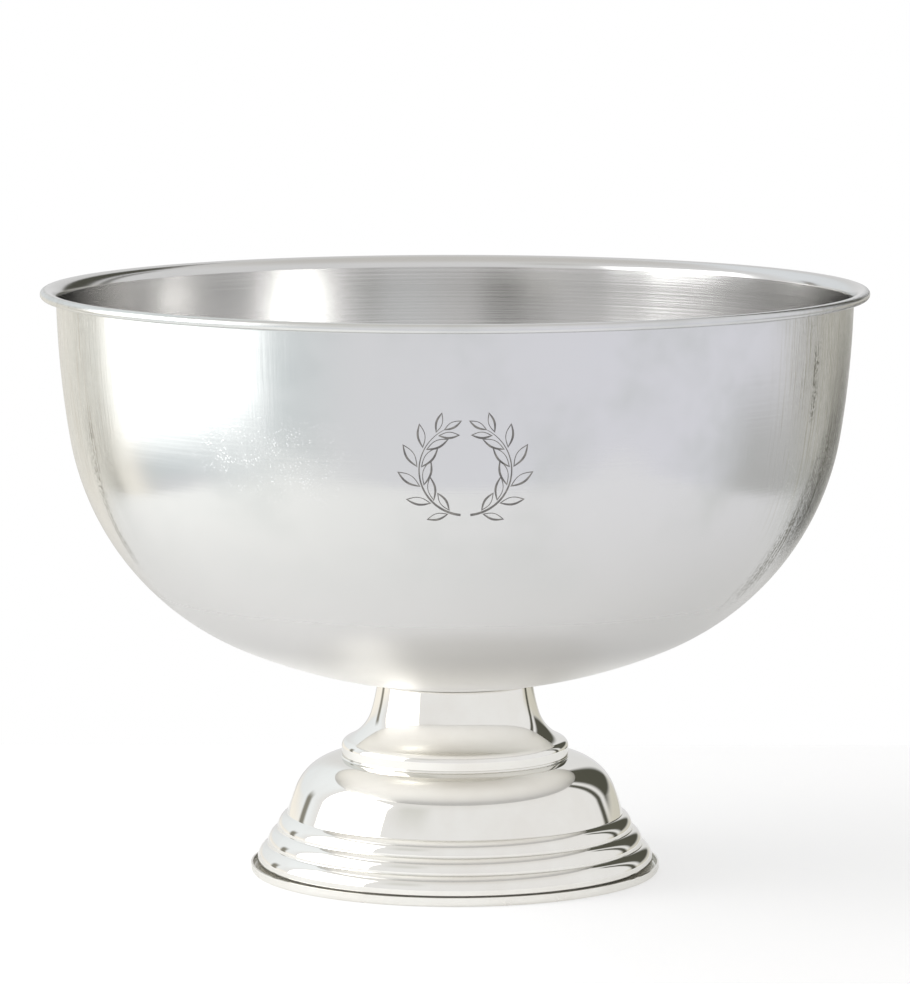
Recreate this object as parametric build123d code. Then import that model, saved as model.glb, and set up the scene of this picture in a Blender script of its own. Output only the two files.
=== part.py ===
from build123d import *

import os
from collections import namedtuple
from math import asin, copysign, cos, degrees, radians, sin, sqrt

# Silver-plated footed champagne bucket, in millimetres.
# Origin: centre of the circle the foot stands on. +Z is up, along the axis of revolution.
# The front, where the engraving goes, faces -Y.
#
# Two spun sheet shells make the bucket. The bowl's lip is curled round a wire, and the foot's
# base edge is turned up into an open channel. The foot has a turned-in seat under the bowl,
# and a stud on the bowl pulls it up through a cupped plate, a washer, a spring washer and a nut.

# ---- driving dimensions: whole bucket ----
OVERALL_HEIGHT = 325.5
LIP_RADIUS = 228.5
BASE_RADIUS = 113.7
SHEET = 1.0            # thickness of both spun shells

# ---- bowl, measured on its outside ----
BOWL_BOTTOM_Z = 103.3
BOTTOM_ARC_RADIUS = 309.4
BOTTOM_ARC_END = 23.2          # headings are degrees above horizontal, outward
CHEEK_RADIUS = 153.0
CHEEK_END = 80.5
UPPER_WALL_RADIUS = 524.4
WALL_HEADING = 87.5
FLARE_RADIUS = 5.9
LIP_CURL_RADIUS = 2.5
LIP_CURL_END = -285.0

# ---- foot, measured on its outside, from the seat down ----
SEAT_HOLE_RADIUS = 31.0
SEAT_BEND_RADIUS = 1.3
NECK_TOP_RADIUS = 43.3
NECK_TOP_HEADING = -82.8
NECK_RADIUS = 98.0
NECK_END = -73.5
FLARE_OUT_RADIUS = 24.0
FLARE_OUT_END = -22.6
SHOULDER_RADIUS = 4.4
SHOULDER_FACE = 4.2            # height of the shoulder ring's upright face
SHOULDER_CORNER_RADIUS = 1.3
SHOULDER_UNDERCUT = -108.4
SHOULDER_VALLEY_RADIUS = 0.9
DOME_START = -2.3
DOME_RADIUS = 28.1
DOME_SHOULDER_END = -68.1
DOME_SIDE_RADIUS = 128.6
DOME_END = -74.5
REED_COUNT = 3
REED_VALLEY_RADIUS = 0.8
REED_START = -24.1
REED_RADIUS = 8.6
STRAIGHT_DOWN = -90.0
STRAIGHT_UP = 90.0
BASE_RIM_TOP_Z = 4.9           # top of the base edge's upturned rim
BASE_LAND_DEPTH = 0.1          # the underside of the channel is lapped flat by this much

# ---- joint between bowl and foot ----
JOINT_GAP = 0.1                # solder film, and the gap between curved faces that meet
WIRE_GAP = 0.05                # slack of the wire in the lip's curl
BOSS_RADIUS = 30.7
BOSS_BOTTOM_Z = 99.5
CUP_SHEET = 2.0
CUP_FLOOR_Z = 97.5             # upper face of the clamp cup's floor
CUP_FLOOR_RADIUS = 29.0
CUP_HOLE_RADIUS = 4.5
CUP_INNER_BEND = 3.0
CUP_OUTER_BEND = 4.0
CUP_WALL_HEADING = 65.0
CUP_RIM_WIDTH = 4.0

# ---- M8 fastener set ----
STUD_RADIUS = 4.0
STUD_PROUD = 5.0               # stud left below the nut
STUD_CHAMFER = 1.0
THREAD_PITCH = 1.25
THREAD_DEPTH = 0.77
BORE_GAP = 0.05
WASHER_RADIUS = 12.0
WASHER_HOLE_RADIUS = 4.2
WASHER_THICKNESS = 1.6
SPRING_WASHER_RADIUS = 7.4
SPRING_WASHER_HOLE_RADIUS = 4.1
SPRING_WASHER_THICKNESS = 2.0
SPRING_WASHER_SLIT = 1.2
SPRING_WASHER_SLIT_ANGLE = 20.0
NUT_ACROSS_FLATS = 13.0
NUT_HEIGHT = 6.5
NUT_CHAMFER_ANGLE = 30.0
NUT_SIDES = 6

LEFT = 1
RIGHT = -1
QUARTER_TURN = 90.0
HALF_TURN = 180.0
FULL_TURN = 360.0

Run = namedtuple("Run", "length")
Bend = namedtuple("Bend", "radius heading")


def along(heading):
    """Unit vector in the XZ half-plane at a heading in degrees above horizontal."""
    return Vector(cos(radians(heading)), 0, sin(radians(heading)))


def left_of(heading):
    """Unit vector a quarter turn to the left of a heading."""
    return along(heading + QUARTER_TURN)


def walk(start, heading, steps):
    """Follow runs and bends from a point; return each step with its ends and its centre."""
    point = Vector(*start)
    path = []
    for step in steps:
        centre = None
        end_heading = heading
        if isinstance(step, Run):
            end = point + along(heading) * step.length
        else:
            way = copysign(1, step.heading - heading)
            end_heading = step.heading
            centre = point + left_of(heading) * (way * step.radius)
            end = centre - left_of(end_heading) * (way * step.radius)
        path.append((step, point, end, heading, end_heading, centre))
        point = end
        heading = end_heading
    return path


def offset_edge(leg, shift):
    """One leg of a path as an edge, moved sideways by shift, positive to the left."""
    step, start, end, heading, end_heading, centre = leg
    if centre is None:
        sideways = left_of(heading) * shift
        return Edge.make_line(start + sideways, end + sideways)
    way = copysign(1, end_heading - heading)
    reach = way * step.radius - shift
    middle = (heading + end_heading) / 2
    points = [centre - left_of(angle) * reach for angle in (heading, middle, end_heading)]
    return Edge.make_three_point_arc(*points)


def sheet_section(path, thickness, side):
    """Closed section of bent sheet whose metal lies on one side of a path."""
    near = [offset_edge(leg, 0) for leg in path]
    far = [offset_edge(leg, side * thickness) for leg in path]
    first_cap = Edge.make_line(far[0] @ 0, near[0] @ 0)
    last_cap = Edge.make_line(near[-1] @ 1, far[-1] @ 1)
    return Face(Wire([first_cap, *near, last_cap, *far]))


def spin(section):
    """Solid of revolution of a section in the XZ half-plane."""
    return revolve(section, Axis.Z, FULL_TURN)


def polygon_section(*points):
    """Section in the XZ half-plane with straight sides, from (radius, z) corners."""
    corners = [(radius, 0, z) for radius, z in points]
    return Face(Wire.make_polygon(corners, close=True))


def bowl_bottom_z(radius, drop=0.0):
    """Height of the bowl's underside at a radius, or of the parallel face drop below it."""
    centre_z = BOWL_BOTTOM_Z + BOTTOM_ARC_RADIUS
    return centre_z - sqrt((BOTTOM_ARC_RADIUS + drop) ** 2 - radius ** 2)


# ---- spun shells ----

def bowl_path():
    """Underside of the bowl, from its bottom centre out and up to the lip curl."""
    below_wall = [
        Bend(BOTTOM_ARC_RADIUS, BOTTOM_ARC_END),
        Bend(CHEEK_RADIUS, CHEEK_END),
        Bend(UPPER_WALL_RADIUS, WALL_HEADING),
    ]
    start = (0, 0, BOWL_BOTTOM_Z)
    wall_foot = walk(start, 0, below_wall)[-1][2]
    flare_rise = FLARE_RADIUS * (1 - cos(radians(WALL_HEADING)))
    wall_top_z = OVERALL_HEIGHT - SHEET - flare_rise
    wall = Run((wall_top_z - wall_foot.Z) / sin(radians(WALL_HEADING)))
    flare = Bend(FLARE_RADIUS, 0)
    flare_end = walk(start, 0, [*below_wall, wall, flare])[-1][2]
    lip = Run(LIP_RADIUS - LIP_CURL_RADIUS - flare_end.X)
    curl = Bend(LIP_CURL_RADIUS - SHEET, LIP_CURL_END)
    return walk(start, 0, [*below_wall, wall, flare, lip, curl])


def foot_path():
    """Outside of the foot, from the seat's hole out over the neck and down to the base rim."""
    seat_radius = BOTTOM_ARC_RADIUS + JOINT_GAP
    neck_out = SEAT_BEND_RADIUS * sin(radians(-NECK_TOP_HEADING))
    seat_end = degrees(asin((NECK_TOP_RADIUS - neck_out) / (seat_radius + SEAT_BEND_RADIUS)))
    above_base = [
        Bend(seat_radius, seat_end),
        Bend(SEAT_BEND_RADIUS, NECK_TOP_HEADING),
        Bend(NECK_RADIUS, NECK_END),
        Bend(FLARE_OUT_RADIUS, FLARE_OUT_END),
        Bend(SHOULDER_RADIUS, STRAIGHT_DOWN),
        Run(SHOULDER_FACE),
        Bend(SHOULDER_CORNER_RADIUS, SHOULDER_UNDERCUT),
        Bend(SHOULDER_VALLEY_RADIUS, DOME_START),
        Bend(DOME_RADIUS, DOME_SHOULDER_END),
        Bend(DOME_SIDE_RADIUS, DOME_END),
    ]
    for _ in range(REED_COUNT):
        above_base.append(Bend(REED_VALLEY_RADIUS, REED_START))
        above_base.append(Bend(REED_RADIUS, STRAIGHT_DOWN))
    start = (SEAT_HOLE_RADIUS, 0, bowl_bottom_z(SEAT_HOLE_RADIUS, JOINT_GAP))
    start_heading = degrees(asin(SEAT_HOLE_RADIUS / seat_radius))
    reeds_end = walk(start, start_heading, above_base)[-1][2]
    channel_radius = (BASE_RADIUS - SHEET - reeds_end.X) / 2
    channel_z = channel_radius + SHEET - BASE_LAND_DEPTH
    base = [
        Run(reeds_end.Z - channel_z),
        Bend(channel_radius, STRAIGHT_UP),
        Run(BASE_RIM_TOP_Z - channel_z),
    ]
    return walk(start, start_heading, [*above_base, *base])


def make_bowl_shell():
    return spin(sheet_section(bowl_path(), SHEET, LEFT))


def make_rim_wire():
    """Ring of round wire at the centre of the lip's curl."""
    curl_centre = bowl_path()[-1][-1]
    wire_radius = LIP_CURL_RADIUS - SHEET - WIRE_GAP
    return Pos(0, 0, curl_centre.Z) * Torus(curl_centre.X, wire_radius)


def make_foot_shell():
    shell = spin(sheet_section(foot_path(), SHEET, RIGHT))
    lapped_away = Pos(0, 0, -BASE_LAND_DEPTH) * Cylinder(
        BASE_RADIUS, 2 * BASE_LAND_DEPTH, align=(Align.CENTER, Align.CENTER, Align.CENTER)
    )
    return shell - lapped_away


# ---- joint hardware ----

def make_locating_boss():
    """Disc soldered under the bowl: it centres the foot's seat and holds the stud."""
    edge_z = bowl_bottom_z(BOSS_RADIUS, JOINT_GAP)
    hole_z = bowl_bottom_z(STUD_RADIUS, JOINT_GAP)
    middle_radius = BOSS_RADIUS / 2
    dished_top = Edge.make_three_point_arc(
        (STUD_RADIUS, 0, hole_z),
        (middle_radius, 0, bowl_bottom_z(middle_radius, JOINT_GAP)),
        (BOSS_RADIUS, 0, edge_z),
    )
    side = Edge.make_line((BOSS_RADIUS, 0, edge_z), (BOSS_RADIUS, 0, BOSS_BOTTOM_Z))
    bottom = Edge.make_line((BOSS_RADIUS, 0, BOSS_BOTTOM_Z), (STUD_RADIUS, 0, BOSS_BOTTOM_Z))
    hole = Edge.make_line((STUD_RADIUS, 0, BOSS_BOTTOM_Z), (STUD_RADIUS, 0, hole_z))
    return spin(Face(Wire([dished_top, side, bottom, hole])))


def make_clamp_cup():
    """Pressed cup whose rim draws the foot's seat up against the bowl."""
    rim_radius = CUP_FLOOR_RADIUS + (CUP_INNER_BEND + CUP_OUTER_BEND) * sin(radians(CUP_WALL_HEADING))
    seat_under = SHEET + 2 * JOINT_GAP
    rim_heading = degrees(asin(rim_radius / (BOTTOM_ARC_RADIUS + seat_under)))
    wall_cos = cos(radians(CUP_WALL_HEADING))
    inner_rise = CUP_INNER_BEND * (1 - wall_cos)
    outer_rise = CUP_OUTER_BEND * (cos(radians(rim_heading)) - wall_cos)
    rim_z = bowl_bottom_z(rim_radius, seat_under)
    wall_run = (rim_z - CUP_FLOOR_Z - inner_rise - outer_rise) / sin(radians(CUP_WALL_HEADING))
    path = walk(
        (CUP_HOLE_RADIUS, 0, CUP_FLOOR_Z),
        0,
        [
            Run(CUP_FLOOR_RADIUS - CUP_HOLE_RADIUS),
            Bend(CUP_INNER_BEND, CUP_WALL_HEADING),
            Run(wall_run),
            Bend(CUP_OUTER_BEND, rim_heading),
            Run(CUP_RIM_WIDTH),
        ],
    )
    return spin(sheet_section(path, CUP_SHEET, RIGHT))


WASHER_TOP_Z = CUP_FLOOR_Z - CUP_SHEET
SPRING_WASHER_TOP_Z = WASHER_TOP_Z - WASHER_THICKNESS
NUT_TOP_Z = SPRING_WASHER_TOP_Z - SPRING_WASHER_THICKNESS
NUT_BOTTOM_Z = NUT_TOP_Z - NUT_HEIGHT
STUD_BOTTOM_Z = NUT_BOTTOM_Z - STUD_PROUD


def make_foot_stud():
    """Plain shank in the boss and, below it, a thread drawn as rings of the M8 pitch."""
    top_z = BOWL_BOTTOM_Z - JOINT_GAP
    root_radius = STUD_RADIUS - THREAD_DEPTH
    points = [(0, top_z), (STUD_RADIUS, top_z), (STUD_RADIUS, BOSS_BOTTOM_Z)]
    thread_length = BOSS_BOTTOM_Z - STUD_BOTTOM_Z - STUD_CHAMFER
    ring_count = int(thread_length / THREAD_PITCH)
    for ring in range(ring_count):
        crest_z = BOSS_BOTTOM_Z - ring * THREAD_PITCH
        points.append((root_radius, crest_z - THREAD_PITCH / 2))
        points.append((STUD_RADIUS, crest_z - THREAD_PITCH))
    points.append((STUD_RADIUS, STUD_BOTTOM_Z + STUD_CHAMFER))
    points.append((STUD_RADIUS - STUD_CHAMFER, STUD_BOTTOM_Z))
    points.append((0, STUD_BOTTOM_Z))
    return spin(polygon_section(*points))


def flat_ring(outer_radius, inner_radius, top_z, thickness):
    bottom_z = top_z - thickness
    return spin(
        polygon_section(
            (inner_radius, top_z),
            (outer_radius, top_z),
            (outer_radius, bottom_z),
            (inner_radius, bottom_z),
        )
    )


def make_flat_washer():
    return flat_ring(WASHER_RADIUS, WASHER_HOLE_RADIUS, WASHER_TOP_Z, WASHER_THICKNESS)


def make_spring_washer():
    """Split ring, drawn as it lies when the nut is tight."""
    ring = flat_ring(
        SPRING_WASHER_RADIUS, SPRING_WASHER_HOLE_RADIUS, SPRING_WASHER_TOP_Z, SPRING_WASHER_THICKNESS
    )
    middle_z = SPRING_WASHER_TOP_Z - SPRING_WASHER_THICKNESS / 2
    slit_place = Pos(SPRING_WASHER_RADIUS, 0, middle_z) * Rot(SPRING_WASHER_SLIT_ANGLE, 0, 0)
    slit = slit_place * Box(SPRING_WASHER_RADIUS * 2, SPRING_WASHER_SLIT, SPRING_WASHER_THICKNESS * 2)
    return ring - slit


def make_hex_nut():
    """Hexagon with both faces chamfered at its corners."""
    corner_radius = NUT_ACROSS_FLATS / 2 / cos(radians(HALF_TURN / NUT_SIDES))
    hexagon = RegularPolygon(corner_radius, NUT_SIDES)
    prism = Pos(0, 0, NUT_BOTTOM_Z) * extrude(hexagon, NUT_HEIGHT)
    flat_radius = NUT_ACROSS_FLATS / 2
    corner_drop = (corner_radius - flat_radius) * sin(radians(NUT_CHAMFER_ANGLE))
    envelope = spin(
        polygon_section(
            (0, NUT_TOP_Z),
            (flat_radius, NUT_TOP_Z),
            (corner_radius, NUT_TOP_Z - corner_drop),
            (corner_radius, NUT_BOTTOM_Z + corner_drop),
            (flat_radius, NUT_BOTTOM_Z),
            (0, NUT_BOTTOM_Z),
        )
    )
    bore = Pos(0, 0, NUT_BOTTOM_Z) * Cylinder(
        STUD_RADIUS + BORE_GAP, NUT_HEIGHT, align=(Align.CENTER, Align.CENTER, Align.MIN)
    )
    return (prism & envelope) - bore


PARTS = {
    "bowl_shell": make_bowl_shell,
    "rim_wire": make_rim_wire,
    "foot_shell": make_foot_shell,
    "locating_boss": make_locating_boss,
    "foot_stud": make_foot_stud,
    "clamp_cup": make_clamp_cup,
    "flat_washer": make_flat_washer,
    "spring_washer": make_spring_washer,
    "hex_nut": make_hex_nut,
}

os.makedirs("parts", exist_ok=True)
for name, make in PARTS.items():
    export_step(make(), f"parts/{name}.step")
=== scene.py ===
from collections import namedtuple
from math import asin, ceil, copysign, cos, degrees, pi, radians, sin, sqrt

import bmesh
import bpy
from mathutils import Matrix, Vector


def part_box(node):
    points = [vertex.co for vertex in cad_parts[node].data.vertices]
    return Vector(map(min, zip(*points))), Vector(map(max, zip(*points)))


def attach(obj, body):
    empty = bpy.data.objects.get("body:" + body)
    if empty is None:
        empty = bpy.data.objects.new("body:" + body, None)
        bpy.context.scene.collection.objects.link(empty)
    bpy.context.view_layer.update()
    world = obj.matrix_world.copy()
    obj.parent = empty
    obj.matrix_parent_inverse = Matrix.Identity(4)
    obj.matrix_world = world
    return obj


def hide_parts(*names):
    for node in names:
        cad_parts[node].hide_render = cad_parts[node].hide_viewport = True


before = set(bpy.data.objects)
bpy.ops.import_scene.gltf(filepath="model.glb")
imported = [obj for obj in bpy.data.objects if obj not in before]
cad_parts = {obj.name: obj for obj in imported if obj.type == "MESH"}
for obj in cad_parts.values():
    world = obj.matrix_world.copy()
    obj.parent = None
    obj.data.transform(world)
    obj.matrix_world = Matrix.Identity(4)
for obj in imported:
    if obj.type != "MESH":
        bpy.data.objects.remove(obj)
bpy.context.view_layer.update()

# Looks of the footed silver champagne bucket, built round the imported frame. Lengths are in metres
# and angles in degrees. The bucket stands at the origin, +Z is up, and its engraved front faces -Y.

MM = 0.001

BOWL_LOW, BOWL_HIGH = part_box("bowl_shell")
FOOT_LOW, FOOT_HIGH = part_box("foot_shell")
LIP_RADIUS = BOWL_HIGH.x
BASE_RADIUS = FOOT_HIGH.x


# ---------------------------------------------------------------- camera

CAMERA_DISTANCE = 3.1626
CAMERA_HEIGHT = 0.593
CAMERA_PITCH = 6.875          # degrees below level
CAMERA_LENS = 210.4
SENSOR = 36.0


def make_camera():
    data = bpy.data.cameras.new("camera")
    data.lens = CAMERA_LENS
    data.sensor_width = SENSOR
    data.clip_end = 60
    camera = bpy.data.objects.new("camera", data)
    camera.location = (0, -CAMERA_DISTANCE, CAMERA_HEIGHT)
    camera.rotation_euler = (radians(90 - CAMERA_PITCH), 0, 0)
    bpy.context.scene.collection.objects.link(camera)
    bpy.context.scene.camera = camera


# ---------------------------------------------------------------- sheet profiles

Run = namedtuple("Run", "length")
Bend = namedtuple("Bend", "radius heading")
Leg = namedtuple("Leg", "start heading step end_heading centre")
ProfilePoint = namedtuple("ProfilePoint", "place normal")

ARC_STEP = radians(3)         # the most that a bend turns between two profile points
ARC_SAG = 0.004 * MM          # the most that a chord of a bend leaves the arc
RUN_STEP = 5 * MM
SAME_PLACE = 1e-7


def along(heading):
    """Unit (radius, z) vector at a heading in degrees above horizontal."""
    return Vector((cos(radians(heading)), sin(radians(heading))))


def left_of(heading):
    return along(heading + 90)


def walk(start, heading, steps):
    """Legs of a path of runs and bends, and the point where it ends."""
    point = Vector(start)
    legs = []
    for step in steps:
        centre = None
        end_heading = heading
        end = point
        if isinstance(step, Run):
            end = point + along(heading) * step.length
        else:
            way = copysign(1, step.heading - heading)
            end_heading = step.heading
            centre = point + left_of(heading) * (way * step.radius)
            end = centre - left_of(end_heading) * (way * step.radius)
        legs.append(Leg(point, heading, step, end_heading, centre))
        point = end
        heading = end_heading
    return legs, point


def leg_points(leg, shift, side):
    """Profile points of a leg moved left by shift; normals point to the given side."""
    if leg.centre is None:
        count = max(1, ceil(leg.step.length / RUN_STEP))
        normal = left_of(leg.heading)
        base = leg.start + normal * shift
        way_on = along(leg.heading) * leg.step.length
        return [ProfilePoint(base + way_on * (i / count), normal * side) for i in range(count + 1)]
    turn = leg.end_heading - leg.heading
    way = copysign(1, turn)
    reach = way * leg.step.radius - shift
    sag_step = 2 * sqrt(2 * ARC_SAG / max(abs(reach), ARC_SAG))
    count = max(2, ceil(radians(abs(turn)) / min(ARC_STEP, sag_step)))
    points = []
    for i in range(count + 1):
        normal = left_of(leg.heading + turn * i / count)
        points.append(ProfilePoint(leg.centre - normal * reach, normal * side))
    return points


def cap_points(start, end, normal):
    return [ProfilePoint(start, normal), ProfilePoint(end, normal)]


def sheet_strips(legs, thickness, metal_side):
    """Strips of profile points round a bent sheet; metal_side is 1 left of the path, -1 right."""
    strips = [leg_points(leg, 0, -metal_side) for leg in legs]
    first, last = legs[0], legs[-1]
    far_strips = [leg_points(leg, metal_side * thickness, metal_side) for leg in legs]
    end_cap = cap_points(strips[-1][-1].place, far_strips[-1][-1].place, along(last.end_heading))
    start_cap = cap_points(far_strips[0][0].place, strips[0][0].place, -along(first.heading))
    strips.append(end_cap)
    strips.extend(strip[::-1] for strip in reversed(far_strips))
    strips.append(start_cap)
    return strips


def faces_out(strips):
    """Whether closed strips run round their metal so that a lathe's faces point out of it."""
    points = [point.place for strip in strips for point in strip]
    return sum(a.x * b.y - b.x * a.y for a, b in zip(points, points[1:] + points[:1])) > 0


def profile_edges(strips):
    """Pairs of profile points that follow each other, without those at one place."""
    edges = []
    for strip in strips:
        for here, there in zip(strip, strip[1:]):
            if (here.place - there.place).length >= SAME_PLACE:
                edges.append((here, there))
    return edges


def on_axis(point):
    return point.place.x < SAME_PLACE


def lathe(name, strips, segments):
    """Mesh of revolution of closed profile strips, with the profile's own exact normals."""
    if not faces_out(strips):
        strips = [strip[::-1] for strip in reversed(strips)]
    edges = profile_edges(strips)
    angles = [2 * pi * k / segments for k in range(segments)]
    vertices = []
    rings = []
    for point, _ in edges:
        radius, z = point.place
        first = len(vertices)
        if on_axis(point):
            rings.append([first] * segments)
            vertices.append((0, 0, z))
        else:
            rings.append(range(first, first + segments))
            vertices.extend((radius * cos(angle), radius * sin(angle), z) for angle in angles)
    faces = []
    normals = []
    for index, (here, there) in enumerate(edges):
        if on_axis(here) and on_axis(there):
            continue
        low = rings[index]
        high = rings[(index + 1) % len(rings)]
        for k in range(segments):
            n = (k + 1) % segments
            corners = [(low[k], here, k), (low[n], here, n), (high[n], there, n), (high[k], there, k)]
            if on_axis(here):
                del corners[1]
            elif on_axis(there):
                del corners[2]
            faces.append([vertex for vertex, _, _ in corners])
            for _, point, turn in corners:
                out, up = point.normal
                normals.append((out * cos(angles[turn]), out * sin(angles[turn]), up))
    return mesh_piece(name, vertices, faces, normals)


def mesh_piece(name, vertices, faces, normals=None):
    """Smooth mesh object that rides on the bucket's one body."""
    mesh = bpy.data.meshes.new(name)
    mesh.from_pydata(vertices, [], faces)
    mesh.polygons.foreach_set("use_smooth", [True] * len(mesh.polygons))
    if normals is not None:
        mesh.normals_split_custom_set(normals)
    mesh.update()
    piece = bpy.data.objects.new(name, mesh)
    bpy.context.scene.collection.objects.link(piece)
    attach(piece, "root")
    return piece


# ---------------------------------------------------------------- bowl and foot outlines

SHEET = 1.0 * MM
STRAIGHT_DOWN = -90.0
STRAIGHT_UP = 90.0
METAL_LEFT = 1
METAL_RIGHT = -1
BOWL_SEGMENTS = 400
FOOT_SEGMENTS = 320

BOTTOM_ARC_RADIUS = 309.4 * MM
BOTTOM_ARC = Bend(BOTTOM_ARC_RADIUS, 23.2)
BELLY_ARC = Bend(153.0 * MM, 80.5)
WALL_HEADING = 87.5
WALL_ARC = Bend(524.4 * MM, WALL_HEADING)
FLARE_RADIUS = 5.9 * MM
LIP_CURL_RADIUS = 2.5 * MM
LIP_CURL_END = -285.0

SEAT_HOLE_RADIUS = 31.0 * MM
SEAT_GAP = 0.1 * MM
SEAT_END_HEADING = 7.77
SEAT_EDGE = Bend(1.3 * MM, -82.8)
NECK = Bend(98.0 * MM, -73.5)
NECK_FLARE = Bend(24.0 * MM, -22.6)
SHOULDER = Bend(4.4 * MM, STRAIGHT_DOWN)
SHOULDER_FACE = Run(4.2 * MM)
SHOULDER_CORNER = Bend(1.3 * MM, -108.4)
SHOULDER_VALLEY = Bend(0.9 * MM, -2.3)
DOME = Bend(28.1 * MM, -68.1)
DOME_SIDE = Bend(128.6 * MM, -74.5)
REED_VALLEY = Bend(0.8 * MM, -24.1)
REED = Bend(8.6 * MM, STRAIGHT_DOWN)
REED_COUNT = 3
BASE_RIM_TOP_Z = 4.9 * MM
BASE_LAND_DEPTH = 0.1 * MM


def bowl_legs():
    """Underside of the bowl, from its bottom centre out and up to the curl of the lip."""
    start = (0, BOWL_LOW.z)
    below_wall = [BOTTOM_ARC, BELLY_ARC, WALL_ARC]
    _, wall_foot = walk(start, 0, below_wall)
    flare_rise = FLARE_RADIUS * (1 - cos(radians(WALL_HEADING)))
    wall_top = BOWL_HIGH.z - SHEET - flare_rise
    wall = Run((wall_top - wall_foot.y) / sin(radians(WALL_HEADING)))
    flare = Bend(FLARE_RADIUS, 0)
    _, flare_end = walk(start, 0, [*below_wall, wall, flare])
    lip = Run(LIP_RADIUS - LIP_CURL_RADIUS - flare_end.x)
    curl = Bend(LIP_CURL_RADIUS - SHEET, LIP_CURL_END)
    return walk(start, 0, [*below_wall, wall, flare, lip, curl])[0]


def foot_legs():
    """Outside of the foot, from the hole in its seat out over the neck and down to the rim."""
    seat_radius = BOTTOM_ARC_RADIUS + SEAT_GAP
    seat_start_z = BOWL_LOW.z + BOTTOM_ARC_RADIUS - sqrt(seat_radius ** 2 - SEAT_HOLE_RADIUS ** 2)
    start = (SEAT_HOLE_RADIUS, seat_start_z)
    start_heading = degrees(asin(SEAT_HOLE_RADIUS / seat_radius))
    seat = Bend(seat_radius, SEAT_END_HEADING)
    neck = [SEAT_EDGE, NECK, NECK_FLARE]
    shoulder = [SHOULDER, SHOULDER_FACE, SHOULDER_CORNER, SHOULDER_VALLEY]
    above_base = [seat, *neck, *shoulder, DOME, DOME_SIDE, *[REED_VALLEY, REED] * REED_COUNT]
    _, reeds_end = walk(start, start_heading, above_base)
    channel_radius = (BASE_RADIUS - SHEET - reeds_end.x) / 2
    channel_z = channel_radius + SHEET - BASE_LAND_DEPTH
    base = [
        Run(reeds_end.y - channel_z),
        Bend(channel_radius, STRAIGHT_UP),
        Run(BASE_RIM_TOP_Z - channel_z),
    ]
    return walk(start, start_heading, [*above_base, *base])[0]


def flatten_base(piece):
    """The underside of the base's channel is lapped flat where it rests."""
    for vertex in piece.data.vertices:
        vertex.co.z = max(vertex.co.z, FOOT_LOW.z)


def bowl_radius_at(legs, z):
    """Radius of the bowl's outside at a height on its belly or its bent wall."""
    for leg in legs[1:3]:
        _, leg_end = walk(leg.start, leg.heading, [leg.step])
        if leg.start.y <= z <= leg_end.y:
            return leg.centre.x + sqrt(leg.step.radius ** 2 - (z - leg.centre.y) ** 2)
    raise ValueError("height is off the bent wall")


# ---------------------------------------------------------------- material helpers

def new_material(name):
    material = bpy.data.materials.new(name)
    material.use_nodes = True
    nodes = material.node_tree.nodes
    nodes.clear()
    output = nodes.new("ShaderNodeOutputMaterial")
    shader = nodes.new("ShaderNodeBsdfPrincipled")
    material.node_tree.links.new(shader.outputs["BSDF"], output.inputs["Surface"])
    return material, shader


class Graph:
    """Short names for the node work that the materials share."""

    def __init__(self, tree):
        self.tree = tree

    def node(self, kind, **settings):
        made = self.tree.nodes.new(kind)
        for key, value in settings.items():
            setattr(made, key, value)
        return made

    def link(self, source, target):
        self.tree.links.new(source, target)

    def feed(self, socket, value):
        if isinstance(value, (int, float, tuple)):
            socket.default_value = value
        else:
            self.link(value, socket)

    def math(self, operation, *values):
        made = self.node("ShaderNodeMath", operation=operation)
        for socket, value in zip(made.inputs, values):
            self.feed(socket, value)
        return made.outputs[0]

    def times(self, first, *others):
        """Product of two or more values."""
        product = first
        for other in others:
            product = self.math("MULTIPLY", product, other)
        return product

    def plus(self, first, second):
        return self.math("ADD", first, second)

    def most(self, first, second):
        return self.math("MAXIMUM", first, second)

    def band(self, value, low, high, to_low=0.0, to_high=1.0):
        """Smooth step from to_low to to_high as a value goes from low to high."""
        made = self.node("ShaderNodeMapRange", interpolation_type="SMOOTHSTEP")
        self.feed(made.inputs["Value"], value)
        made.inputs["From Min"].default_value = low
        made.inputs["From Max"].default_value = high
        made.inputs["To Min"].default_value = to_low
        made.inputs["To Max"].default_value = to_high
        return made.outputs[0]

    def window(self, value, low, high, edge):
        """1 between low and high, with soft edges."""
        rise = self.band(value, low - edge, low + edge)
        fall = self.band(value, high - edge, high + edge, 1.0, 0.0)
        return self.times(rise, fall)

    def mix(self, factor, first, second):
        made = self.node("ShaderNodeMix", data_type="RGBA")
        self.feed(made.inputs[0], factor)
        self.feed(made.inputs[6], first)
        self.feed(made.inputs[7], second)
        return made.outputs[2]

    def noise(self, vector, scale, detail=2.0, roughness=0.5):
        made = self.node("ShaderNodeTexNoise")
        self.link(vector, made.inputs["Vector"])
        made.inputs["Scale"].default_value = scale
        made.inputs["Detail"].default_value = detail
        made.inputs["Roughness"].default_value = roughness
        return made.outputs["Fac"]

    def combine(self, x, y, z):
        made = self.node("ShaderNodeCombineXYZ")
        for socket, value in zip(made.inputs, (x, y, z)):
            self.feed(socket, value)
        return made.outputs[0]

    def bump(self, height, strength, distance):
        made = self.node("ShaderNodeBump")
        made.inputs["Strength"].default_value = strength
        made.inputs["Distance"].default_value = distance
        self.link(height, made.inputs["Height"])
        return made.outputs["Normal"]


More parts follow.
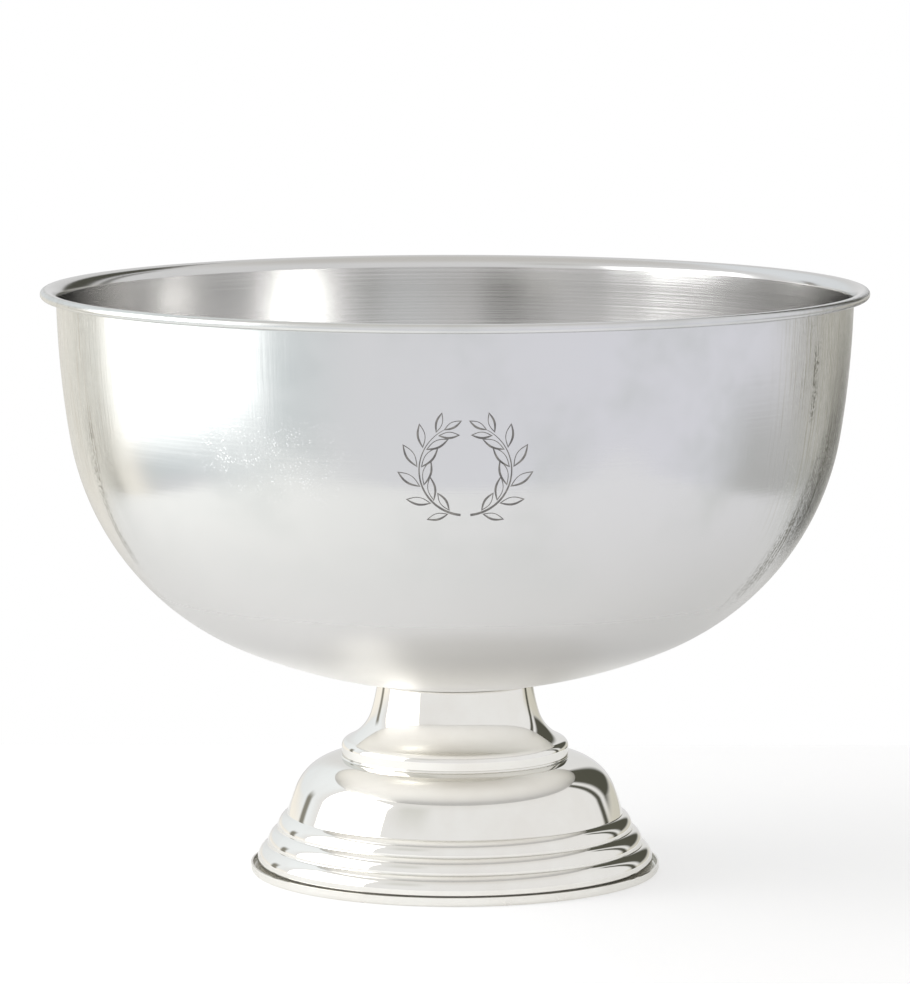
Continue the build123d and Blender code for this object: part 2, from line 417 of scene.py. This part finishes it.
def facing_out(g, across, out):
    """1 where a surface of revolution faces away from its axis, 0 where it faces inward."""
    split = g.node("ShaderNodeSeparateXYZ")
    g.link(g.node("ShaderNodeNewGeometry").outputs["Normal"], split.inputs[0])
    x, y, _ = split.outputs
    return g.band(g.plus(g.times(x, across), g.times(y, out)), -0.05, 0.05)


def round_coordinates(g):
    """Object coordinates, the two parts of a point's direction from the axis, and its height.

    "across" goes from -1 on the left to 1 on the right, and "out" from -1 in front to 1 behind.
    """
    place = g.node("ShaderNodeTexCoord").outputs["Object"]
    split = g.node("ShaderNodeSeparateXYZ")
    g.link(place, split.inputs[0])
    x, y, up = split.outputs
    radius = g.most(g.math("SQRT", g.plus(g.times(x, x), g.times(y, y))), MM)
    return place, g.math("DIVIDE", x, radius), g.math("DIVIDE", y, radius), up


# ---------------------------------------------------------------- materials

SILVER_LEFT = (0.69, 0.695, 0.675, 1)
SILVER_RIGHT = (0.69, 0.69, 0.705, 1)
SILVER_BELOW = (0.655, 0.65, 0.64, 1)
UNDERSIDE_PAINTED_LIGHT = (1.0, 0.99, 0.97, 1)
MISTED = (0.575, 0.59, 0.575, 1)
RUN_THREADS_AND_PAINTED_SHADE = (0.54, 0.53, 0.49, 1)
STREAK_PAINTED_REFLECTION = (0.13, 0.125, 0.095, 1)
DROP_GLINT = (0.98, 0.98, 0.97, 1)
EDGE_TINT = (0.84, 0.84, 0.83, 1)
FOOT_SILVER = (0.855, 0.845, 0.805, 1)
FOOT_SMUDGE = (0.82, 0.80, 0.755, 1)
ENGRAVED_GREY = (0.17, 0.165, 0.16, 1)
ENGRAVED_WORN = (0.28, 0.27, 0.25, 1)
STEEL_LIGHT = (0.58, 0.58, 0.59, 1)
STEEL_DARK = (0.46, 0.46, 0.46, 1)
BRASS_LIGHT = (0.8, 0.62, 0.32, 1)
BRASS_DARK = (0.66, 0.48, 0.22, 1)
ZINC_LIGHT = (0.72, 0.73, 0.75, 1)
ZINC_DARK = (0.6, 0.62, 0.66, 1)

# Zones of the bowl's plate, across, out or up as round_coordinates gives them. Two values are the
# ends of a fade, and three are the ends of a patch and the half width of its soft edge.
WALL_UP = (0.15, 0.25)
# The underside's painted light fades out between these heights.
UNDERSIDE_UP = (0.112, 0.141)
LEFT_TO_RIGHT = (-0.5, 0.5)
# At the left and right edges the water-run threads also carry painted shade.
WET_AND_SHADED_RIGHT = (0.74, 0.88)
WET_AND_SHADED_LEFT = (-0.94, -0.83)
BEADS_ACROSS = (-0.62, -0.3, 0.08)
BEADS_UP = (0.232, 0.272, 0.012)
FOG_ACROSS = (-0.62, -0.25, 0.1)
# The streaks lay dark painted reflection down the bowl's edges, speckled like drip runs.
LONG_STREAK_SLOPE = 0.94         # how far outward the long streak leans for each metre up
LONG_STREAK_PIVOT = 0.175        # the height from which it leans
LONG_STREAK_ACROSS = (0.862, 0.916, 0.018)
LONG_STREAK_UP = (0.165, 0.26, 0.014)
SHORT_STREAK_ACROSS = (0.879, 0.893, 0.005)
SHORT_STREAK_UP = (0.263, 0.303, 0.006)
LEFT_STREAK_ACROSS = (-0.928, -0.908, 0.008)
LEFT_STREAK_UP = (0.182, 0.262, 0.01)
LEFT_STREAK_STRENGTH = 0.7
STREAKS_OUT = (-0.30, -0.06)     # the painted reflection streaks are on the front and fade before the sides
STREAKS_STRENGTH = 0.85
SATIN_LOW_UP = (0.132, 0.165)
SATIN_HIGH_UP = (0.17, 0.22)


def upright_threads(g, across, out, up):
    """Noise drawn out into fine threads up and down the bowl."""
    stretched = g.combine(g.times(across, 150.0), g.times(out, 150.0), g.times(up, 22.0))
    return g.noise(stretched, scale=1.0, detail=4.0, roughness=0.65)


def painted_reflection_streak_zone(g, across, out, up):
    """Three dark streaks of painted reflection down the front of the bowl's edges; the longest leans in
    at the bottom.
    """
    lean = g.times(g.math("SUBTRACT", up, LONG_STREAK_PIVOT), LONG_STREAK_SLOPE)
    upright = g.math("SUBTRACT", across, lean)
    long_streak = g.times(g.window(upright, *LONG_STREAK_ACROSS), g.window(up, *LONG_STREAK_UP))
    short_streak = g.times(g.window(across, *SHORT_STREAK_ACROSS), g.window(up, *SHORT_STREAK_UP))
    left_streak = g.times(g.window(across, *LEFT_STREAK_ACROSS), g.window(up, *LEFT_STREAK_UP), LEFT_STREAK_STRENGTH)
    in_front = g.band(out, *STREAKS_OUT, STREAKS_STRENGTH, 0.0)
    return g.times(g.most(g.most(long_streak, short_streak), left_streak), in_front)


def water_beads(g, place, zone):
    """Small round drops in cloudy groups within a zone."""
    cells = g.node("ShaderNodeTexVoronoi")
    g.link(place, cells.inputs["Vector"])
    cells.inputs["Scale"].default_value = 760.0
    drops = g.band(cells.outputs["Distance"], 0.15, 0.42, 1.0, 0.0)
    clouds = g.band(g.noise(place, scale=130.0, detail=4.0, roughness=0.75), 0.4, 0.7)
    return g.times(drops, clouds, zone)


def bowl_silver():
    """Plated sheet, softly polished, misted by the cold, with fine runs down its wall and painted glints
    on its drops; its underside is painted lighter against its shade, and painted shade and dark painted
    reflections mark its left and right edges.
    """
    material, shader = new_material("bowl_silver")
    g = Graph(material.node_tree)
    place, across, out, up = round_coordinates(g)
    outside = facing_out(g, across, out)
    wall = g.times(g.band(up, *WALL_UP), outside)
    mist = g.times(g.band(g.noise(place, scale=9.0, detail=4.0, roughness=0.62), 0.4, 0.66), wall)
    threads = upright_threads(g, across, out, up)
    wet_and_shaded_limbs = g.times(g.most(g.band(across, *WET_AND_SHADED_RIGHT), g.band(across, *WET_AND_SHADED_LEFT, 1.0, 0.0)), wall)
    bead_patch = g.times(g.window(across, *BEADS_ACROSS), g.window(up, *BEADS_UP))
    beads = water_beads(g, place, g.times(g.most(bead_patch, g.times(wet_and_shaded_limbs, 0.6)), wall))
    specks = g.band(g.plus(g.noise(place, scale=520.0, detail=3.0, roughness=0.7), threads), 0.92, 1.10)
    # Painted reflection: dark streaks at the edges, broken into drip-like specks.
    drip_specks_and_painted_reflection = g.times(painted_reflection_streak_zone(g, across, out, up), outside, specks)

    sides = g.mix(g.band(across, *LEFT_TO_RIGHT), SILVER_LEFT, SILVER_RIGHT)
    sheet = g.mix(wall, SILVER_BELOW, sides)
    # Painted light: the underside is lighter than the rest of the plate, to lift the shade under the
    # bowl.
    sheet = g.mix(g.band(up, *UNDERSIDE_UP), UNDERSIDE_PAINTED_LIGHT, sheet)
    sheet = g.mix(g.times(mist, 0.7), sheet, MISTED)
    # Water-run threads at the left and right edges, painted darker as shade there.
    sheet = g.mix(g.times(g.band(threads, 0.5, 0.68), wet_and_shaded_limbs), sheet, RUN_THREADS_AND_PAINTED_SHADE)
    # Lays the dark painted reflection streaks on the sheet.
    sheet = g.mix(drip_specks_and_painted_reflection, sheet, STREAK_PAINTED_REFLECTION)
    sheet = g.mix(g.times(beads, 0.9), sheet, DROP_GLINT)
    shader.inputs["Metallic"].default_value = 1.0
    shader.inputs["Specular Tint"].default_value = EDGE_TINT
    g.link(sheet, shader.inputs["Base Color"])

    satin = g.plus(g.band(up, *SATIN_LOW_UP, 0.48, 0.26), g.band(up, *SATIN_HIGH_UP, 0.0, -0.10))
    fogged = g.most(mist, g.times(g.window(across, *FOG_ACROSS), wall))
    g.link(g.plus(satin, g.times(fogged, 0.10)), shader.inputs["Roughness"])

    spun_rings = g.noise(g.combine(across, out, g.times(up, 700.0)), scale=1.0)
    thread_depth = g.plus(g.times(wet_and_shaded_limbs, 0.9), g.times(wall, 0.25))
    grain = g.plus(g.times(spun_rings, 0.12), g.times(threads, thread_depth))
    grain = g.plus(grain, g.times(beads, 0.25))
    g.link(g.bump(grain, strength=0.35, distance=0.5 * MM), shader.inputs["Normal"])
    return material


def engraving():
    """Darkened lines cut into the plate; their dark grey is painted shade of the cut, with tarnish
    varying it.
    """
    material, shader = new_material("engraving")
    g = Graph(material.node_tree)
    place = g.node("ShaderNodeTexCoord").outputs["Object"]
    tarnish = g.band(g.noise(place, scale=300.0, detail=3.0, roughness=0.6), 0.35, 0.7)
    shader.inputs["Metallic"].default_value = 1.0
    # The dark grey is painted shade of the cut lines; the tarnish noise varies it.
    g.link(g.mix(tarnish, ENGRAVED_GREY, ENGRAVED_WORN), shader.inputs["Base Color"])
    g.link(g.band(tarnish, 0.0, 1.0, 0.38, 0.5), shader.inputs["Roughness"])
    return material


UNBUFFED_UP = (0.003, 0.007)  # the base's channel, which a buffing wheel doesn't reach


def foot_silver():
    """The same plate, buffed to a mirror."""
    material, shader = new_material("foot_silver")
    g = Graph(material.node_tree)
    place, across, out, up = round_coordinates(g)
    smudge = g.noise(place, scale=22.0, detail=4.0, roughness=0.6)
    shader.inputs["Metallic"].default_value = 1.0
    shader.inputs["Specular Tint"].default_value = EDGE_TINT
    g.link(g.mix(g.band(smudge, 0.35, 0.7), FOOT_SILVER, FOOT_SMUDGE), shader.inputs["Base Color"])
    buffed = g.band(smudge, 0.35, 0.75, 0.03, 0.07)
    unbuffed = g.band(up, *UNBUFFED_UP, 0.22, 0.0)
    g.link(g.plus(buffed, unbuffed), shader.inputs["Roughness"])
    spun_rings = g.noise(g.combine(across, out, g.times(up, 900.0)), scale=1.0)
    g.link(g.bump(spun_rings, strength=0.04, distance=0.1 * MM), shader.inputs["Normal"])
    return material


def plain_metal(name, light, dark, roughness, scale):
    """Clouded bare metal for the hidden hardware; roughness gives its two ends."""
    material, shader = new_material(name)
    g = Graph(material.node_tree)
    place = g.node("ShaderNodeTexCoord").outputs["Object"]
    cloud = g.noise(place, scale, detail=4.0, roughness=0.6)
    shader.inputs["Metallic"].default_value = 1.0
    g.link(g.mix(g.band(cloud, 0.3, 0.7), light, dark), shader.inputs["Base Color"])
    g.link(g.band(cloud, 0.3, 0.7, *roughness), shader.inputs["Roughness"])
    fine = g.noise(place, scale * 12)
    g.link(g.bump(fine, strength=0.15, distance=0.1 * MM), shader.inputs["Normal"])
    return material


# ---------------------------------------------------------------- stage

FLOOR_HALF = 0.62
FLOOR_BACK = 0.42
FLOOR_GLOW = 0.42
FLOOR_ALBEDO = 0.63


def make_floor():
    """White light table that the bucket stands on."""
    mesh = bpy.data.meshes.new("floor")
    corners = [
        (-FLOOR_HALF, -FLOOR_HALF, 0),
        (FLOOR_HALF, -FLOOR_HALF, 0),
        (FLOOR_HALF, FLOOR_BACK, 0),
        (-FLOOR_HALF, FLOOR_BACK, 0),
    ]
    mesh.from_pydata(corners, [], [(0, 1, 2, 3)])
    floor = bpy.data.objects.new("floor", mesh)
    bpy.context.scene.collection.objects.link(floor)
    material, shader = new_material("floor_white")
    shader.inputs["Base Color"].default_value = (FLOOR_ALBEDO, FLOOR_ALBEDO, FLOOR_ALBEDO, 1)
    shader.inputs["Roughness"].default_value = 1.0
    shader.inputs["Specular IOR Level"].default_value = 0.0
    shader.inputs["Emission Color"].default_value = (1, 1, 1, 1)
    shader.inputs["Emission Strength"].default_value = FLOOR_GLOW
    mesh.materials.append(material)


STUDIO_WHITE = (0.92, 0.92, 0.93, 1)
CEILING = (0.78, 0.765, 0.74, 1)
BEIGE_DRAPE = (1.20, 1.15, 1.07, 1)
DIM_CORNER = (0.76, 0.74, 0.66, 1)
DARK_DOORWAY = (0.10, 0.10, 0.08, 1)
GREY_SKIRTING = (0.60, 0.60, 0.58, 1)
DARK_POST = (0.02, 0.02, 0.015, 1)
DARK_STAND = (0.30, 0.29, 0.25, 1)
GREY_CARD = (0.76, 0.76, 0.74, 1)
COOL_BOUNCE = (1.02, 1.06, 1.10, 1)
COOL_SHADE = (0.76, 0.81, 0.85, 1)
FAR_FLOOR = (0.91, 0.91, 0.95, 1)
BACK_FLOOR = (0.80, 0.79, 0.77, 1)

Patch = namedtuple("Patch", "tone azimuth elevation")

# What stands round the bucket, in degrees. Azimuth 0 is in front and 90 to the right, and the
# room's floor is below elevation 0. Two values are the ends of a fade, and three are the ends of
# a patch and the half width of its soft edge. A later patch lies over an earlier one.
CEILING_ELEVATION = (35, 70)
HORIZON_ELEVATION = (-2, 2)
BACK_AZIMUTH = (95, 125)
BACK_FLOOR_ELEVATION = (-6, 0)
FAR_PATCHES = [
    Patch(COOL_SHADE, (-112, -38, 10), (-22, -4, 3)),
    Patch(COOL_BOUNCE, (-168, -118, 8), (2, 50, 5)),
]
NEAR_PATCHES = [
    Patch(BEIGE_DRAPE, (-165, -112, 6), (-35, 2, 5)),
    Patch(DARK_STAND, (-134, -127, 2), (-28, 14, 5)),
    Patch(DIM_CORNER, (118, 164, 5), (-16, 4, 4)),
    Patch(DARK_DOORWAY, (136, 163, 3), (4, 46, 3)),
    Patch(DARK_DOORWAY, (124, 130, 2), (-13, 40, 3)),
    Patch(GREY_SKIRTING, (92, 138, 8), (-29, -13, 4)),
    Patch(DARK_POST, (149, 161, 2), (-40, -6, 3)),
    Patch(GREY_CARD, (-46, -22, 8), (27, 45, 8)),
]


def studio_tone(g):
    """Colour of the pale studio in every direction."""
    split = g.node("ShaderNodeSeparateXYZ")
    g.link(g.node("ShaderNodeTexCoord").outputs["Generated"], split.inputs[0])
    x, y, z = split.outputs
    azimuth = g.times(g.math("ARCTAN2", x, g.times(y, -1.0)), 180 / pi)
    elevation = g.times(g.math("ARCSINE", z), 180 / pi)

    def laid_on(tone, patches):
        for patch in patches:
            zone = g.times(g.window(azimuth, *patch.azimuth), g.window(elevation, *patch.elevation))
            tone = g.mix(zone, tone, patch.tone)
        return tone

    tone = g.mix(g.band(elevation, *CEILING_ELEVATION), STUDIO_WHITE, CEILING)
    tone = g.mix(g.band(elevation, *HORIZON_ELEVATION, 1.0, 0.0), tone, FAR_FLOOR)
    tone = laid_on(tone, FAR_PATCHES)
    behind = g.band(g.math("ABSOLUTE", azimuth), *BACK_AZIMUTH)
    back_floor = g.times(behind, g.band(elevation, *BACK_FLOOR_ELEVATION, 1.0, 0.0))
    tone = g.mix(back_floor, tone, BACK_FLOOR)
    return laid_on(tone, NEAR_PATCHES)


def make_world():
    """The studio lights the bucket and shows in it, and the camera sees plain white behind it."""
    world = bpy.data.worlds.new("studio")
    bpy.context.scene.world = world
    world.use_nodes = True
    world.node_tree.nodes.clear()
    g = Graph(world.node_tree)
    studio = g.node("ShaderNodeBackground")
    g.link(studio_tone(g), studio.inputs["Color"])
    white = g.node("ShaderNodeBackground")
    white.inputs["Color"].default_value = (1, 1, 1, 1)
    choose = g.node("ShaderNodeMixShader")
    g.link(g.node("ShaderNodeLightPath").outputs["Is Camera Ray"], choose.inputs[0])
    g.link(studio.outputs[0], choose.inputs[1])
    g.link(white.outputs[0], choose.inputs[2])
    output = g.node("ShaderNodeOutputWorld")
    g.link(choose.outputs[0], output.inputs["Surface"])


SOFTBOX_AZIMUTH = -80


def make_softbox(name, distance, middle_z, width, height, radiance):
    """Upright soft light on the left that faces the bucket."""
    data = bpy.data.lights.new(name, "AREA")
    data.shape = "RECTANGLE"
    data.size = width
    data.size_y = height
    data.energy = radiance * pi * width * height
    light = bpy.data.objects.new(name, data)
    turn = radians(SOFTBOX_AZIMUTH)
    light.location = (distance * sin(turn), -distance * cos(turn), middle_z)
    light.rotation_euler = (radians(90), 0, turn)
    bpy.context.scene.collection.objects.link(light)
    light.visible_camera = False


# ---------------------------------------------------------------- pieces

def make_shells():
    """The bowl and the foot as fine meshes of revolution in place of the CAD's coarser ones."""
    bowl = lathe("bowl_body", sheet_strips(bowl_legs(), SHEET, METAL_LEFT), BOWL_SEGMENTS)
    bowl.data.materials.append(bowl_silver())
    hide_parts("bowl_shell")
    foot = lathe("foot_body", sheet_strips(foot_legs(), SHEET, METAL_RIGHT), FOOT_SEGMENTS)
    flatten_base(foot)
    foot.data.materials.append(foot_silver())
    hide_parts("foot_shell")


WREATH_CENTRE = (5.4 * MM, 248.6 * MM)
WREATH_RADIUS = 24.0 * MM
WREATH_BOTTOM_ANGLE = -84.0   # where each branch starts, in degrees above horizontal
WREATH_TOP_ANGLE = 62.0
STEM_WIDTH = 1.3 * MM
STEM_TAPER = 0.75             # how much of its width a stem loses by its top
STEM_STEPS = 40
LEAF_LENGTH = 13.5 * MM
LEAF_WIDTH = 4.6 * MM
LEAF_OPENING = 0.04 * MM      # the least width of the clear space in a leaf
LEAF_PAIRS = 6
FIRST_PAIR = 0.6              # where the first pair stands, in spaces between pairs
LEAF_SPREAD = 36.0            # degrees between a leaf and its stem
LEAF_INSET = 0.9 * MM         # how far a leaf's root stands off the middle of the stem
LEAF_LEAST = 0.78
LEAF_SWELL = 0.3
TIP_LEAF_SIZE = 0.8
LEAF_STEPS = 14
LINE_WIDE = 1.15 * MM
LINE_FINE = 0.42 * MM
LINE_PROUD = 0.035 * MM
LINE_DEPTH = 0.08 * MM


def on_bowl(legs, spot, proud):
    """Point on the bowl's outside, from a flat place across and up its front."""
    across, z = spot
    radius = bowl_radius_at(legs, z)
    angle = across / radius
    reach = radius + proud
    return (reach * sin(angle), -reach * cos(angle), z)


def add_ribbon(vertices, faces, legs, left_side, right_side, closed):
    """Low ridge on the bowl between two rows of flat places."""
    first = len(vertices)
    count = len(left_side)
    for spots, proud in ((left_side, LINE_PROUD), (right_side, LINE_PROUD),
                         (right_side, -LINE_DEPTH), (left_side, -LINE_DEPTH)):
        vertices.extend(on_bowl(legs, spot, proud) for spot in spots)
    rows = [[first + row * count + i for i in range(count)] for row in range(4)]
    last = count if closed else count - 1
    for i in range(last):
        j = (i + 1) % count
        for near, far in ((0, 1), (1, 2), (2, 3), (3, 0)):
            faces.append((rows[near][i], rows[near][j], rows[far][j], rows[far][i]))
    if not closed:
        faces.append(tuple(row[0] for row in rows))
        faces.append(tuple(row[-1] for row in reversed(rows)))


def leaf_loops(root, heading, size, bulge_side):
    """Outer and inner outline of an open leaf whose line swells along one side."""
    outer = []
    inner = []
    length = LEAF_LENGTH * size
    half_width = LEAF_WIDTH * size / 2
    ahead = along(heading)
    aside = left_of(heading)
    for side, steps in ((1, range(LEAF_STEPS)), (-1, range(LEAF_STEPS, 0, -1))):
        for i in steps:
            t = i / LEAF_STEPS
            swell = sin(pi * t)
            line = LINE_FINE + (LINE_WIDE - LINE_FINE) * swell * (side == bulge_side)
            width = half_width * swell
            core = root + ahead * (length * t)
            trim = ahead * (LINE_FINE * 2 * (0.5 - t))
            outer.append(core + aside * (side * width))
            inner.append(core + trim + aside * (side * max(width - line, LEAF_OPENING / 2)))
    return outer, inner


def make_wreath():
    """Two engraved laurel sprays that almost close into a ring on the front of the bowl."""
    legs = bowl_legs()
    vertices = []
    faces = []
    centre = Vector(WREATH_CENTRE)
    branch_turn = WREATH_TOP_ANGLE - WREATH_BOTTOM_ANGLE

    def add_leaf(hand, angle, inset, spread, size, bulge_side):
        """One leaf on the branch of a hand: 1 is the right branch and -1 the left."""
        root = centre + along(angle) * (WREATH_RADIUS - inset) * Vector((hand, 1))
        heading = angle + 90 + spread
        turned = heading if hand == 1 else 180 - heading
        outer, inner = leaf_loops(root, turned, size, bulge_side * hand)
        add_ribbon(vertices, faces, legs, outer, inner, True)

    for hand in (1, -1):
        mirror = Vector((hand, 1))
        near = []
        far = []
        for i in range(STEM_STEPS + 1):
            share = i / STEM_STEPS
            direction = along(WREATH_BOTTOM_ANGLE + branch_turn * share)
            half = STEM_WIDTH / 2 * (1 - STEM_TAPER * share)
            near.append(centre + direction * (WREATH_RADIUS - half) * mirror)
            far.append(centre + direction * (WREATH_RADIUS + half) * mirror)
        add_ribbon(vertices, faces, legs, near, far, False)
        for pair in range(LEAF_PAIRS):
            share = (pair + FIRST_PAIR) / LEAF_PAIRS
            angle = WREATH_BOTTOM_ANGLE + branch_turn * share
            size = LEAF_LEAST + LEAF_SWELL * sin(pi * share)
            for side in (1, -1):
                add_leaf(hand, angle, side * LEAF_INSET, side * LEAF_SPREAD, size, side)
        add_leaf(hand, WREATH_TOP_ANGLE, 0, 0, TIP_LEAF_SIZE, 1)
    wreath = mesh_piece("engraved_wreath", vertices, faces)
    tidy_normals(wreath)
    wreath.data.materials.append(engraving())


def tidy_normals(piece):
    """Turn every face outward and keep the ridges' corners crisp."""
    work = bmesh.new()
    work.from_mesh(piece.data)
    bmesh.ops.recalc_face_normals(work, faces=work.faces)
    for face in work.faces:
        face.smooth = False
    work.to_mesh(piece.data)
    work.free()


def finish_hardware():
    """The hidden pieces keep their own shapes and get metals of their own."""
    steel = plain_metal("wire_steel", STEEL_LIGHT, STEEL_DARK, roughness=(0.25, 0.4), scale=60)
    brass = plain_metal("boss_brass", BRASS_LIGHT, BRASS_DARK, roughness=(0.25, 0.4), scale=60)
    zinc = plain_metal("zinc_steel", ZINC_LIGHT, ZINC_DARK, roughness=(0.22, 0.38), scale=90)
    finishes = {"rim_wire": steel, "locating_boss": brass}
    for name in ("foot_stud", "clamp_cup", "flat_washer", "spring_washer", "hex_nut"):
        finishes[name] = zinc
    for name, material in finishes.items():
        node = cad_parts[name]
        node.data.materials.clear()
        node.data.materials.append(material)


scene = bpy.context.scene
scene.view_settings.view_transform = "Standard"
scene.view_settings.look = "None"
make_camera()
make_world()
make_floor()
make_softbox("left_softbox", distance=1.0, middle_z=0.50, width=1.08, height=1.00, radiance=1.45)
make_softbox("left_key", distance=0.98, middle_z=0.54, width=0.46, height=0.40, radiance=4.8)
make_shells()
make_wreath()
finish_hardware()
